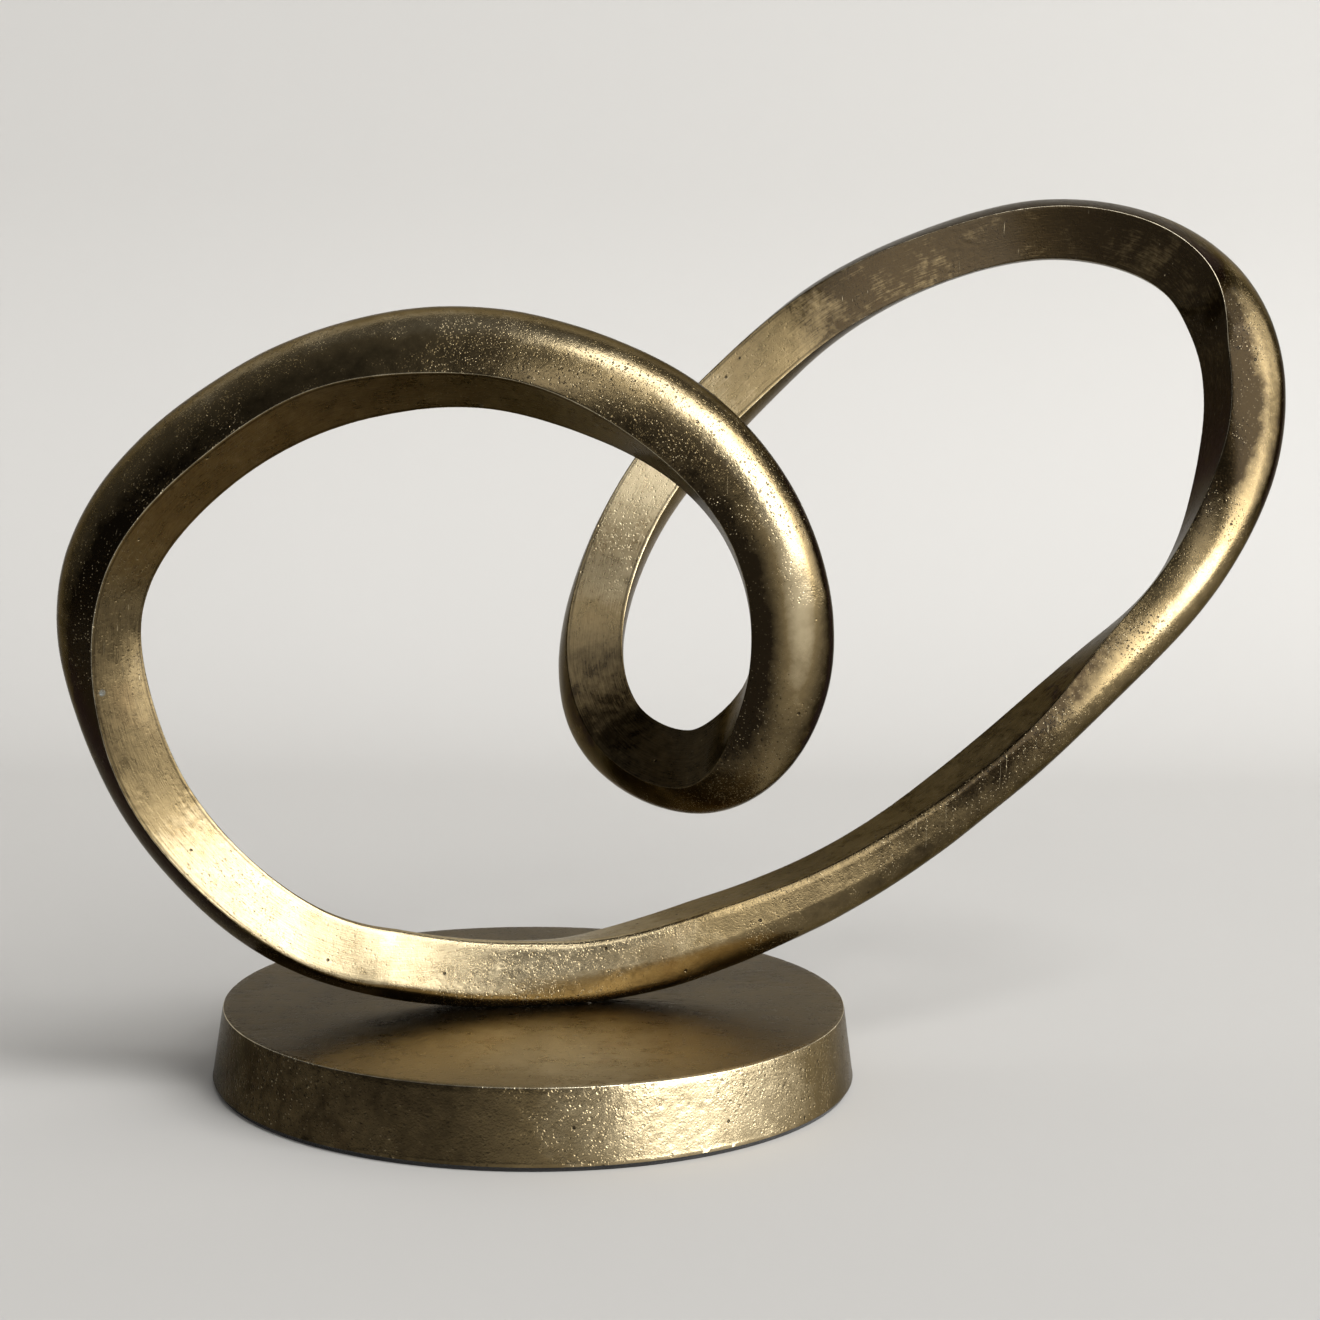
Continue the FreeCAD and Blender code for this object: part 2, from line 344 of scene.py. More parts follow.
# over the seat the front flat turns into a rounded side while the side above it turns into the upper flat
seatBlend = {
    "turnsFrom": -1.0,
    "turnsTo": 1.1,
    "twoFlatStations": (-5.0, -3.0, 1.2, 2.6),
    "flatEdges": (0.70, 0.86),
    "stations": (-1.3, -0.5, 0.1, 0.6, 1.2),
    "frontShare": (0.0, 0.20, 0.46, 0.76, 1.0),
    "cornerRadius": 0.0045,
    "seatDrop": 0.0009,
    "dropCentre": 0.1,
    "dropReach": 1.4,
}
stationCount = len(stationShares)
# where the welds are, as shares of the way round
jointShares = {"lowerLeft": 0.164, "curl": 0.503, "backStrand": 0.62, "right": 0.8}
lowerLeftJoint, curlJoint, backStrandJoint, rightJoint = (
    share * stationCount for share in jointShares.values())


def solveControls(sweeps=60):
    # control points of the smooth closed line that passes through the stations
    controls = stationShares.copy()
    for _ in range(sweeps):
        controls = (6 * stationShares - np.roll(controls, 1, axis=0) - np.roll(controls, -1, axis=0)) / 4
    return controls


pathControls = solveControls()


def splineWeights(u):
    # shares of the four controls round a place on the line
    return ((1 - u) ** 3 / 6, (3 * u**3 - 6 * u**2 + 4) / 6,
            (-3 * u**3 + 3 * u**2 + 3 * u + 1) / 6, u**3 / 6)


def pathFrames(stations):
    # centre, facing, sideways, width, depth and metres per station at each station
    stations = np.asarray(stations, float)
    whole = np.floor(stations).astype(int)
    u = (stations - whole)[:, None]
    picks = [pathControls[(whole - 1 + k) % stationCount] for k in range(4)]
    slopeWeights = (-((1 - u) ** 2) / 2, (3 * u**2 - 4 * u) / 2, (-3 * u**2 + 2 * u + 1) / 2, u**2 / 2)
    values = sum(w * p for w, p in zip(splineWeights(u), picks))
    slopes = sum(w * p for w, p in zip(slopeWeights, picks))
    reach = np.array([ribbon["knotWidth"], ribbon["knotReach"], ribbon["knotRise"]])
    seatHeight = baseTop + ribbon["depth"] * stationShares[0, 5] / 2 - ribbon["seatFlat"]
    centre = values[:, :3] * reach + np.array([0, 0, seatHeight])
    tangent = slopes[:, :3] * reach
    speed = np.linalg.norm(tangent, axis=1)
    tangent = tangent / speed[:, None]
    front = np.array([0.0, -1.0, 0.0]) - tangent * (-tangent[:, 1:2])
    front /= np.linalg.norm(front, axis=1)[:, None]
    inside = np.cross(tangent, front)
    turn = np.radians(values[:, 3:4])
    facing = front * np.cos(turn) + inside * np.sin(turn)
    sideways = np.cross(facing, tangent)
    return centre, facing, sideways, values[:, 4] * ribbon["width"], values[:, 5] * ribbon["depth"], speed


# distance along the closed centre line, for even mesh steps and for strokes that follow it
stepsPerStation = 60
finePlaces = np.linspace(0, 2 * stationCount, 2 * stationCount * stepsPerStation + 1)
fineCentres = pathFrames(finePlaces)[0]
fineLengths = np.concatenate([[0], np.cumsum(np.linalg.norm(np.diff(fineCentres, axis=0), axis=1))])


def evenStations(start, end):
    low, high = np.interp([start, end], finePlaces, fineLengths)
    count = max(3, int(round((high - low) / ribbon["meshStep"])) + 1)
    return np.interp(np.linspace(low, high, count), fineLengths, finePlaces)


def weldReach(joint):
    return ribbon["weldWidth"] / 2 / pathFrames([joint])[5][0]


def makeProfile():
    # half the section as shares of width and depth, with its flat and edge masks, and its mirror image
    widest, flatSteps, bevelSteps, sideSteps, backSteps = ribbon["widestShare"], 14, 4, 16, 32
    darkLine = -0.7
    sideShare = 0.5 - widest
    bevelAcross, bevelUp = ribbon["edgeBevel"] / ribbon["width"], ribbon["edgeBevel"] / ribbon["depth"]
    rise = 1 - bevelUp / sideShare
    swell = (1 - ribbon["flatShare"]) / 2
    shoulder = 0.5 - swell * rise**2
    flatHalf = shoulder - bevelAcross
    half = [(flatHalf * i / flatSteps, 0.5, 1.0, darkLine if i == flatSteps - 1 else 0.0)
            for i in range(flatSteps + 1)]
    for i in range(1, bevelSteps + 1):
        s = i / bevelSteps
        across = flatHalf * (1 - s) ** 2 + 2 * s * (1 - s) * (shoulder - 0.2 * bevelAcross) + shoulder * s**2
        half.append((across, 0.5 - bevelUp * s**2, 1 - s, 1 - abs(s - 0.5) * 1.6))
    for i in range(1, sideSteps + 1):
        q = rise * (1 - i / sideSteps)
        half.append((0.5 - swell * q**2, widest + sideShare * q, 0.0, max(0.0, 0.3 - i * 0.15)))
    for i in range(1, backSteps + 1):
        angle = math.pi / 2 * i / backSteps
        half.append((0.5 * math.cos(angle), widest * (1 - math.sin(angle)) - 0.5 * math.sin(angle), 0.0, 0.0))
    mirrored = [(-a, b, f, e) for a, b, f, e in half]
    ring = half[::-1][:-1] + mirrored
    values = np.array(ring)
    mesh = bpy.data.meshes.new("ribbonProfile")
    mesh.from_pydata([(a, b, 0) for a, b, f, e in ring], [], [])
    spots = values[:, :2] * np.array([ribbon["width"], ribbon["depth"]])
    around = np.concatenate([[0], np.cumsum(np.linalg.norm(np.diff(spots, axis=0), axis=1))])
    writeFloats(mesh, "flatMask", values[:, 2])
    writeFloats(mesh, "edgeMask", values[:, 3])
    fromFlat = around - around[-1] / 2
    writeFloats(mesh, "around", fromFlat)
    # painted highlight along the crown, painted shade beside it
    offCrown = (np.abs(fromFlat) / around[-1] - ribbon["crownShare"]) / ribbon["crownSpread"]
    writeFloats(mesh, "crown", ribbon["crownPeak"] * np.exp(-offCrown**2) + ribbon["paintedShadeBesideCrown"])
    spots[-1] = spots[0]
    ahead = np.roll(spots[:-1], -1, axis=0) - np.roll(spots[:-1], 1, axis=0)
    outward = np.column_stack([ahead[:, 1], -ahead[:, 0]])
    outward *= np.sign(np.sum(outward * spots[:-1]))
    outward /= np.linalg.norm(outward, axis=1)[:, None]
    outward = np.vstack([outward, outward[:1]])
    writeVectors(mesh, "outward", np.column_stack([outward, np.zeros(len(outward))]))
    return addObject("ribbonProfile", mesh)


def writeFloats(mesh, name, values):
    mesh.attributes.new(name, "FLOAT", "POINT").data.foreach_set("value", np.asarray(values, np.float32))


def writeVectors(mesh, name, values):
    row = np.asarray(values, np.float32).ravel()
    mesh.attributes.new(name, "FLOAT_VECTOR", "POINT").data.foreach_set("vector", row)


def makeRibbonTree():
    # lays the section round each point of the path and skins it
    tree = newTree("ribbonAlongPath")
    addSocket(tree, "Profile", "NodeSocketObject")
    addSocket(tree, "Soft Corner", "NodeSocketFloat", 0.001)
    addSocket(tree, "Finish", "NodeSocketMaterial")
    bench = Bench(tree)
    given = bench.add("NodeGroupInput")
    path = given.other("Geometry")
    profile = bench.add("GeometryNodeObjectInfo", None, {"Object": given.other("Profile")}, output="Geometry")
    rows = bench.add("GeometryNodeAttributeDomainSize", None, {"Geometry": path}, output="Point Count")
    columns = bench.add("GeometryNodeAttributeDomainSize", None, {"Geometry": profile}, output="Point Count")
    grid = bench.add("GeometryNodeMeshGrid", None, {"Vertices X": rows, "Vertices Y": columns})
    index = bench.add("GeometryNodeInputIndex")
    row = bench.add("FunctionNodeIntegerMath", {"operation": "DIVIDE_FLOOR"}, {0: index, 1: columns})
    column = bench.add("FunctionNodeIntegerMath", {"operation": "MODULO"}, {0: index, 1: columns})

    def pick(geometry, name, where, kind):
        named = bench.add("GeometryNodeInputNamedAttribute", {"data_type": kind}, {"Name": name})
        return bench.add("GeometryNodeSampleIndex", {"data_type": kind, "domain": "POINT"},
                         {"Geometry": geometry, "Value": named, "Index": where})

    centre = pick(path, "position", row, "FLOAT_VECTOR")
    facing = pick(path, "facing", row, "FLOAT_VECTOR")
    sideways = pick(path, "sideways", row, "FLOAT_VECTOR")
    width = pick(path, "width", row, "FLOAT")
    depth = pick(path, "depth", row, "FLOAT")
    shares = bench.add("ShaderNodeSeparateXYZ", None, {0: pick(profile, "position", column, "FLOAT_VECTOR")})
    across = shares.other("X") * width
    up = shares.other("Y") * depth
    arm = sideways * across + facing * up
    armLength = bench.add("ShaderNodeVectorMath", {"operation": "LENGTH"}, {0: arm}, output="Value")
    pointing = bench.add("ShaderNodeVectorMath", {"operation": "NORMALIZE"}, {0: arm})

    def least(value, limit):
        return bench.add("ShaderNodeMath", {"operation": "MAXIMUM"}, {0: value, 1: limit})

    def faceCosine(faceName):
        face = pick(path, faceName, row, "FLOAT_VECTOR")
        return bench.add("ShaderNodeVectorMath", {"operation": "DOT_PRODUCT"},
                         {0: pointing, 1: face}, output="Value")

    def sectionRadius(cosine):
        # distance from the centre line to the section's edge, at an angle from the way its flat faces
        lowest = 0.02
        sine = (least(1.0 - cosine * cosine, 0.0)) ** 0.5
        widest = depth * ribbon["widestShare"]
        toFlat = depth / 2.0 / least(cosine, lowest)
        sideReach = width / 2.0 + widest * ribbon["sideLean"]
        toSide = sideReach / least(sine + cosine * ribbon["sideLean"], lowest)
        backDepth = depth * (0.5 + ribbon["widestShare"])
        curve = sine * sine * 4.0 / width / width + cosine * cosine / backDepth / backDepth
        lean = cosine * widest / backDepth / backDepth
        spare = 1.0 - widest * widest / backDepth / backDepth
        toBack = (lean + (lean * lean + curve * spare) ** 0.5) / curve
        onSide = bench.add("ShaderNodeMath", {"operation": "GREATER_THAN"}, {0: toSide * cosine, 1: widest})
        body = bench.fade(onSide, toBack, toSide)
        return bench.add("ShaderNodeMath", {"operation": "SMOOTH_MIN"},
                         {0: toFlat, 1: body, 2: given.other("Soft Corner")})

    upper, front = faceCosine("upperFace"), faceCosine("frontFace")
    frontShare = pick(path, "frontShare", row, "FLOAT")
    twoFlatShare = pick(path, "twoFlatShare", row, "FLOAT")
    twoFlats = bench.fade(frontShare, sectionRadius(upper), sectionRadius(front))
    reach = bench.fade(twoFlatShare, armLength, twoFlats)
    place = centre + pointing * reach
    placed = bench.add("GeometryNodeSetPosition", None, {"Geometry": grid, "Position": place})
    flatEdges = seatBlend["flatEdges"]
    seatFlat = bench.fade(frontShare, bench.ease(upper, *flatEdges), bench.ease(front, *flatEdges))
    flatHere = bench.fade(twoFlatShare, pick(profile, "flatMask", column, "FLOAT"), seatFlat)
    edgeWear = pick(path, "edgeWear", row, "FLOAT") * (1.0 - twoFlatShare)
    edgeHere = pick(profile, "edgeMask", column, "FLOAT") * edgeWear
    # painted highlight along the crown, with painted shade beside it, stronger or weaker along the path
    crownWear = pick(path, "crownWear", row, "FLOAT") * (1.0 - twoFlatShare)
    crown = pick(profile, "crown", column, "FLOAT") * ribbon["paintedCrownLift"] * crownWear
    # the stations' painted shade and highlights, with patina, on the side and on the flat
    sidePatina = pick(path, "sidePatina", row, "FLOAT") + crown
    patina = bench.fade(flatHere, sidePatina, pick(path, "flatPatina", row, "FLOAT"))
    for name, value in (("flatMask", flatHere), ("edgeMask", edgeHere), ("patina", patina)):
        placed = bench.add("GeometryNodeStoreNamedAttribute", {"data_type": "FLOAT", "domain": "POINT"},
                           {"Geometry": placed, "Name": name, "Value": value})
    turnShares = bench.add("ShaderNodeSeparateXYZ", None,
                           {0: pick(profile, "outward", column, "FLOAT_VECTOR")})
    square = sideways * turnShares.other("X") + facing * turnShares.other("Y")
    outward = bench.add("ShaderNodeMix", {"data_type": "VECTOR"},
                        {0: twoFlatShare, 4: square, 5: pointing}, output=1)
    placed = bench.add("GeometryNodeStoreNamedAttribute", {"data_type": "FLOAT_VECTOR", "domain": "POINT"},
                       {"Geometry": placed, "Name": "outward", "Value": outward})
    onSkin = bench.add("ShaderNodeCombineXYZ", None, {0: pick(profile, "around", column, "FLOAT"),
                                                      1: pick(path, "along", row, "FLOAT")})
    placed = bench.add("GeometryNodeStoreNamedAttribute", {"data_type": "FLOAT_VECTOR", "domain": "POINT"},
                       {"Geometry": placed, "Name": "onSkin", "Value": onSkin})
    merged = bench.add("GeometryNodeMergeByDistance", None,
                       {"Geometry": placed, "Distance": ribbon["mergeDistance"]})
    merged = bench.add("GeometryNodeFlipFaces", None, {"Mesh": merged})
    endTree(bench, merged, given.other("Finish"))
    return tree


def pathTurn(stations):
    # turn of the flat at each station, in degrees
    stations = np.asarray(stations, float)
    whole = np.floor(stations).astype(int)
    weights = splineWeights(stations - whole)
    return sum(w * pathControls[(whole - 1 + k) % stationCount, 3] for k, w in enumerate(weights))


def upperTurns(turn, fromSeat):
    # turn of the upper flat: the ribbon's own on the right, and square to the front flat on the left
    low, high = seatBlend["turnsFrom"], seatBlend["turnsTo"]
    ease = np.clip((fromSeat - low) / (high - low), 0, 1)
    ease = ease * ease * (3 - 2 * ease)
    first, last = pathTurn([low, high])
    onWay = first + (last + 90 - first) * ease
    return np.where(fromSeat < low, turn, np.where(fromSeat > high, turn + 90, onWay))


def turnFace(facing, sideways, turn, newTurn):
    # the facing direction turned about the path to another turn
    swing = np.radians(newTurn - turn)[:, None]
    return facing * np.cos(swing) - sideways * np.sin(swing)


def pathObject(name, stations, insets):
    # points of the path with the frame of the section; an inset below zero closes the end to a point
    centre, facing, sideways, width, depth = pathFrames(stations)[:5]
    insets = np.asarray(insets, float)
    fromSeat = (np.asarray(stations) + stationCount / 2) % stationCount - stationCount / 2
    nearSeat = np.clip(seatBlend["dropReach"] - np.abs(fromSeat - seatBlend["dropCentre"]), 0, 1)
    centre[:, 2] -= seatBlend["seatDrop"] * nearSeat
    frontShare = np.interp(fromSeat, seatBlend["stations"], seatBlend["frontShare"])
    twoFlatShare = np.interp(fromSeat, seatBlend["twoFlatStations"], (0.0, 1.0, 1.0, 0.0)) * (insets == 0)
    turn = pathTurn(stations)
    upperTurn = upperTurns(turn, fromSeat)
    width = np.where(insets < 0, 0, width - 2 * insets)
    depth = np.where(insets < 0, 0, depth - 2 * insets)
    mesh = bpy.data.meshes.new(name)
    mesh.from_pydata([tuple(c) for c in centre], [], [])
    writeVectors(mesh, "facing", facing)
    writeVectors(mesh, "sideways", sideways)
    writeVectors(mesh, "upperFace", turnFace(facing, sideways, turn, upperTurn))
    writeVectors(mesh, "frontFace", turnFace(facing, sideways, turn, upperTurn - 90))
    writeFloats(mesh, "frontShare", frontShare)
    writeFloats(mesh, "twoFlatShare", twoFlatShare)
    # painted shade and highlights, with patina, from the stations' table
    closed = np.vstack([patinaAndPaintedLightShares, patinaAndPaintedLightShares[:1]])
    around = np.asarray(stations) % stationCount
    for column, paintedLightName in enumerate(("sidePatina", "flatPatina")):
        writeFloats(mesh, paintedLightName, np.interp(around, range(stationCount + 1), closed[:, column]))
    writeFloats(mesh, "edgeWear", np.interp(around, *ribbon["edgeWear"]))
    writeFloats(mesh, "crownWear", np.interp(around, *ribbon["crownWear"]))
    writeFloats(mesh, "width", width)
    writeFloats(mesh, "depth", depth)
    writeFloats(mesh, "along", np.interp(stations, finePlaces, fineLengths))
    return addObject(name, mesh)


def castingPath(name, startJoint, endJoint):
    middle = evenStations(startJoint + weldReach(startJoint), endJoint - weldReach(endJoint))
    stations = np.concatenate([[startJoint, startJoint], middle, [endJoint, endJoint]])
    insets = np.concatenate([[-1, ribbon["weldDepth"]], np.zeros(len(middle)), [ribbon["weldDepth"], -1]])
    return pathObject(name, stations, insets)


def weldPath(name, joint):
    reach = weldReach(joint)
    middle = evenStations(joint - reach, joint + reach)
    stations = np.concatenate([[joint], middle, [joint]])
    insets = np.concatenate([[ribbon["weldDepth"]], np.zeros(len(middle)), [ribbon["weldDepth"]]])
    return pathObject(name, stations, insets)


def startMaterial(name):
    material = bpy.data.materials.new(name)
    material.use_nodes = True
    material.node_tree.nodes.clear()
    return material, Bench(material.node_tree)


def finishMaterial(bench, sockets):
    shader = bench.add("ShaderNodeBsdfPrincipled", None, sockets)
    bench.add("ShaderNodeOutputMaterial", None, {"Surface": shader})


def attribute(bench, name, output="Fac"):
    return bench.add("ShaderNodeAttribute", {"attribute_name": name}, None, output)


def clampAll(bench, value):
    return bench.add("ShaderNodeClamp", None, {"Value": value})


# colours, sizes and limits that both brass finishes share; a pair says where a mask starts and is full
brassValues = {
    "dark": linear(36, 28, 15),
    "middle": linear(132, 115, 82),
    "light": linear(217, 200, 163),
    "edge": linear(238, 227, 198),
    "pit": linear(38, 31, 19),
    "oxide": linear(112, 118, 118),
    "copper": linear(158, 112, 84),
    "grazing": (0.46, 0.43, 0.38),
    "coat": 0.08,
    "coatRoughness": 0.16,
    "roughness": 0.24,
    "flatRougher": 0.05,
    "flatCleaner": 0.7,
    "cloudScale": 16.0,
    "patchScale": 24.0,
    "blushScale": 34.0,
    "oxideScale": 40.0,
    "lonePitScale": 110.0,
    "mottleScale": 120.0,
    "crustScale": 420.0,
    "grainScale": 1300.0,
    "scratchTurn": (0.4, 0.9, 0.3),
    "scratchScale": (1500.0, 1500.0, 26.0),
    "scratchEdges": (0.745, 0.79),
    "scratchPatches": (0.40, 0.60),
    "pitSpread": 0.26,
    "smallPitEdges": (0.34, 0.14),
    "smallPitPick": (0.50, 0.56),
    "finePitEdges": (0.36, 0.14),
    "finePitPick": (0.42, 0.50),
    "lonePitEdges": (0.070, 0.035),
    "speckEdges": (0.30, 0.12),
    "speckPick": (0.55, 0.60),
    "blushEdges": (0.60, 0.72),
    "darkLineEdges": (-0.1, -0.6),
    "rubbedEdges": (0.55, 1.0),
    "oxideEdges": (0.05, 0.025),
    "oxidePatches": (0.42, 0.60),
}


def castBrass(name, values):
    # antique cast metal: patina with painted shade and highlights, casting pits, painted glints, brush
    # strokes on the flat face, rubbed edges;
    # each pattern is moved a little, so that no two line up
    material, bench = startMaterial(name)
    where = bench.add("ShaderNodeTexCoord", None, None, "Object")
    onSkin = attribute(bench, "onSkin", "Vector")
    flat = attribute(bench, "flatMask")
    edge = attribute(bench, "edgeMask")
    # patina with painted shade and painted highlights
    patina = attribute(bench, "patina")

    clouds = bench.noise(where, values["cloudScale"], 2.0, 0.5)
    mottle = bench.noise(where, values["mottleScale"], 5.0, 0.65, 0.4)
    crust = bench.noise(where + (0.6, 0.1, 0.3), values["crustScale"], 4.0, 0.7)
    grain = bench.noise(where, values["grainScale"], 2.0, 0.6)
    patches = bench.noise(where + (0.31, 0.12, 0.77), values["patchScale"], 3.0, 0.6)

    # strokes of the brush across the flat face, and a few deeper scratches
    strokePlace = bench.add("ShaderNodeMapping", None, {
        "Vector": onSkin, "Rotation": (0, 0, values["strokeTurn"]), "Scale": values["strokeScale"]})
    strokes = bench.noise(strokePlace, 1.0, 3.0, 0.65)
    scratchPlace = bench.add("ShaderNodeMapping", None, {
        "Vector": where, "Rotation": values["scratchTurn"], "Scale": values["scratchScale"]})
    scratches = (bench.ease(bench.noise(scratchPlace, 1.0, 1.0), *values["scratchEdges"])
                 * bench.ease(patches, *values["scratchPatches"]))

    def dots(place, scale, edges, pick):
        # round dots in some of the cells
        cells = bench.cells(place, scale)
        return bench.ease(cells, *values[edges]) * bench.ease(cells.other("Color"), *values[pick])

    # small round pits, closer together in patches, and a few larger ones on their own
    cover = bench.ease(patches + (mottle - 0.5) * 0.5, values["pitStart"],
                       values["pitStart"] + values["pitSpread"])
    cover = cover * (1.0 - flat * values["flatCleaner"])
    smallPits = dots(where, values["pitScale"], "smallPitEdges", "smallPitPick")
    finePits = dots(where + (0.5, 0.5, 0.5), values["pitScale"] * 2, "finePitEdges", "finePitPick")
    pits = clampAll(bench, (smallPits + finePits * 0.8) * (cover + 0.10))
    lonePits = bench.ease(bench.cells(where + (0.2, 0.9, 0.1), values["lonePitScale"]),
                          *values["lonePitEdges"])

    # painted glints: bright specks beside the pits that stand in for sparkles of light off the pit walls
    paintedGlints = dots(where + (0.13, 0.41, 0.27), values["speckScale"], "speckEdges", "speckPick") * (cover + 0.12)
    paintedGlints = paintedGlints * (1.0 - flat * 0.92)

    tone = clampAll(bench, (clouds - 0.5) * values["cloud"] + (mottle - 0.5) * values["mottle"]
                    + (crust - 0.5) * values["crust"] + flat * (strokes - 0.5) * values["strokeShare"]
                    + values["tone"] + patina)
    colour = bench.add("ShaderNodeValToRGB", {"stops": [(0.0, values["dark"]), (0.5, values["middle"]),
                                                        (1.0, values["light"])]}, {"Fac": tone})
    blush = bench.ease(bench.noise(where + (0.8, 0.5, 0.2), values["blushScale"], 3.0, 0.6),
                       *values["blushEdges"])
    colour = bench.mixColour(blush * values["copperShare"], colour, values["copper"], "OVERLAY")
    colour = bench.mixColour(clampAll(bench, pits * 0.6 + lonePits * 0.8), colour, values["pit"])
    colour = bench.mixColour(clampAll(bench, paintedGlints * values["speckShare"]), colour, values["light"])
    colour = bench.mixColour(scratches * 0.3, colour, values["light"])
    colour = bench.mixColour(bench.ease(edge, *values["darkLineEdges"]) * 0.55, colour, values["pit"])
    rubbed = bench.ease(edge + (mottle - 0.5) * 0.8, *values["rubbedEdges"])
    colour = bench.mixColour(rubbed * values["edgeShare"], colour, values["edge"])
    oxide = (bench.ease(bench.cells(where + (0.9, 0.3, 0.6), values["oxideScale"]), *values["oxideEdges"])
             * bench.ease(mottle, *values["oxidePatches"]))
    colour = bench.mixColour(oxide * 0.8, colour, values["oxide"])

    roughness = (values["roughness"] + (mottle - 0.5) * 0.14 + (crust - 0.5) * 0.08
                 + flat * values["flatRougher"] + pits * 0.12 - paintedGlints * 0.08 + (strokes - 0.5) * flat * 0.10)
    height = (grain * 0.20 - pits * 1.1 - lonePits * 1.6 + paintedGlints * 0.5 - scratches * 0.5
              + strokes * flat * values["strokeHeight"]
              + crust * (0.25 + cover) * (1.0 - flat * 0.6) * values["castHeight"])
    normal = bench.add("ShaderNodeBump", None, {"Strength": 1.0, "Distance": values["bumpDepth"],
                                                "Height": height})
    finishMaterial(bench, {"Base Color": colour, "Metallic": 1.0, "Roughness": clampAll(bench, roughness),
                           "Coat Weight": values["coat"], "Coat Roughness": values["coatRoughness"],
                           "Specular Tint": values["grazing"], "Normal": normal})
    return material


feltValues = {
    "dark": linear(14, 13, 12),
    "light": linear(44, 42, 40),
    "fuzzScale": 2600.0,
    "lintScale": 300.0,
    "fuzzDepth": 0.0004,
    "sheen": 0.3,
    "roughness": 0.95,
}


def padFelt():
    material, bench = startMaterial("padFelt")
    where = bench.add("ShaderNodeTexCoord", None, None, "Object")
    fuzz = bench.noise(where, feltValues["fuzzScale"], 3.0, 0.7)
    lint = bench.noise(where, feltValues["lintScale"], 2.0)
    colour = bench.mixColour(fuzz * 0.6 + lint * 0.2, feltValues["dark"], feltValues["light"])
    normal = bench.add("ShaderNodeBump", None, {"Strength": 1.0, "Distance": feltValues["fuzzDepth"],
                                                "Height": fuzz})
    finishMaterial(bench, {"Base Color": colour, "Roughness": feltValues["roughness"],
                           "Sheen Weight": feltValues["sheen"], "Normal": normal})
    return material


steelValues = {
    "dark": linear(150, 150, 152),
    "light": linear(196, 196, 198),
    "bloomScale": 220.0,
    "bloomRoughness": (0.28, 0.44),
    "scratchScale": (900.0, 900.0, 60.0),
    "scratchDepth": 0.0001,
}


def platedSteel():
    # screws and washers: zinc bloom and fine scratches
    material, bench = startMaterial("platedSteel")
    where = bench.add("ShaderNodeTexCoord", None, None, "Object")
    bloom = bench.noise(where, steelValues["bloomScale"], 4.0, 0.6)
    scratchPlace = bench.add("ShaderNodeMapping", None, {"Vector": where,
                                                         "Scale": steelValues["scratchScale"]})
    scratches = bench.noise(scratchPlace, 1.0)
    colour = bench.mixColour(bloom, steelValues["dark"], steelValues["light"])
    roughness = bench.fade(bloom, *steelValues["bloomRoughness"])
    normal = bench.add("ShaderNodeBump", None, {"Strength": 0.5, "Distance": steelValues["scratchDepth"],
                                                "Height": scratches})
    finishMaterial(bench, {"Base Color": colour, "Metallic": 1.0, "Roughness": roughness, "Normal": normal})
    return material


knotBrass = castBrass("knotBrass", {
    **brassValues,
    "tone": 0.54, "cloud": 0.3, "mottle": 0.4, "crust": 0.25,
    "strokeTurn": 0.75, "strokeScale": (2600.0, 130.0, 1.0), "strokeShare": 0.35, "strokeHeight": 0.35,
    "pitStart": 0.40, "pitScale": 800.0, "speckScale": 1250.0, "speckShare": 0.6,
    "copperShare": 0.10, "edgeShare": 0.45, "castHeight": 0.5, "bumpDepth": 0.00015,
})
baseBrass = castBrass("baseBrass", {
    **brassValues,
    "tone": 0.46, "cloud": 0.45, "mottle": 0.35, "crust": 0.22,
    "strokeTurn": 0.0, "strokeScale": (30.0, 1800.0, 1.0), "strokeShare": 0.25, "strokeHeight": 0.2,
    "pitStart": 0.34, "pitScale": 560.0, "speckScale": 800.0, "speckShare": 0.45,
    "copperShare": 0.15, "edgeShare": 0.9, "castHeight": 0.8, "bumpDepth": 0.00018,
    "grazing": (0.60, 0.57, 0.52), "coat": 0.04,
})
steel = platedSteel()
felt = padFelt()
print("finishes made")


reliefTree = makeReliefTree()
ribbonTree = makeRibbonTree()
profileObject = makeProfile()
knotRelief = {
    "Wave Depth": 0.0006,
    "Wave Size": 0.035,
    "Ripple Depth": 0.00006,
    "Ripple Size": 0.008,
    "Pit Depth": 0.00010,
    "Pit Size": 0.0020,
    "Pit Cover": 0.4,
    "Lowest Height": baseTop,
    "Seed": (0.0, 0.0, 0.0),
    "Finish": knotBrass,
}


def keepPiece(obj, slotName, *nodes):
    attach(obj, "root")
    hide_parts(*nodes)


castings = {
    "left_loop_casting": (lowerLeftJoint, curlJoint),
    "back_link_casting": (curlJoint, backStrandJoint),
    "right_loop_casting": (backStrandJoint, rightJoint),
    "seat_casting": (rightJoint, lowerLeftJoint + stationCount),
}
for node, (startJoint, endJoint) in castings.items():
    piece = castingPath("knot_" + node, startJoint, endJoint)
    bakeTree(piece, ribbonTree, {"Profile": profileObject, "Soft Corner": seatBlend["cornerRadius"],
                                 "Finish": knotBrass})
    bakeTree(piece, reliefTree, knotRelief)
    keepPiece(piece, "ribbon_brass", node)
    print("made", piece.name, len(piece.data.polygons))

for number, joint in enumerate((lowerLeftJoint, curlJoint, backStrandJoint, rightJoint)):
    piece = weldPath("weld_%d" % (number + 1), joint)
    bakeTree(piece, ribbonTree, {"Profile": profileObject, "Finish": knotBrass})
    bakeTree(piece, reliefTree, knotRelief)
    keepPiece(piece, "weld_brass", "weld_seams")
bpy.data.objects.remove(profileObject)
print("welds made")


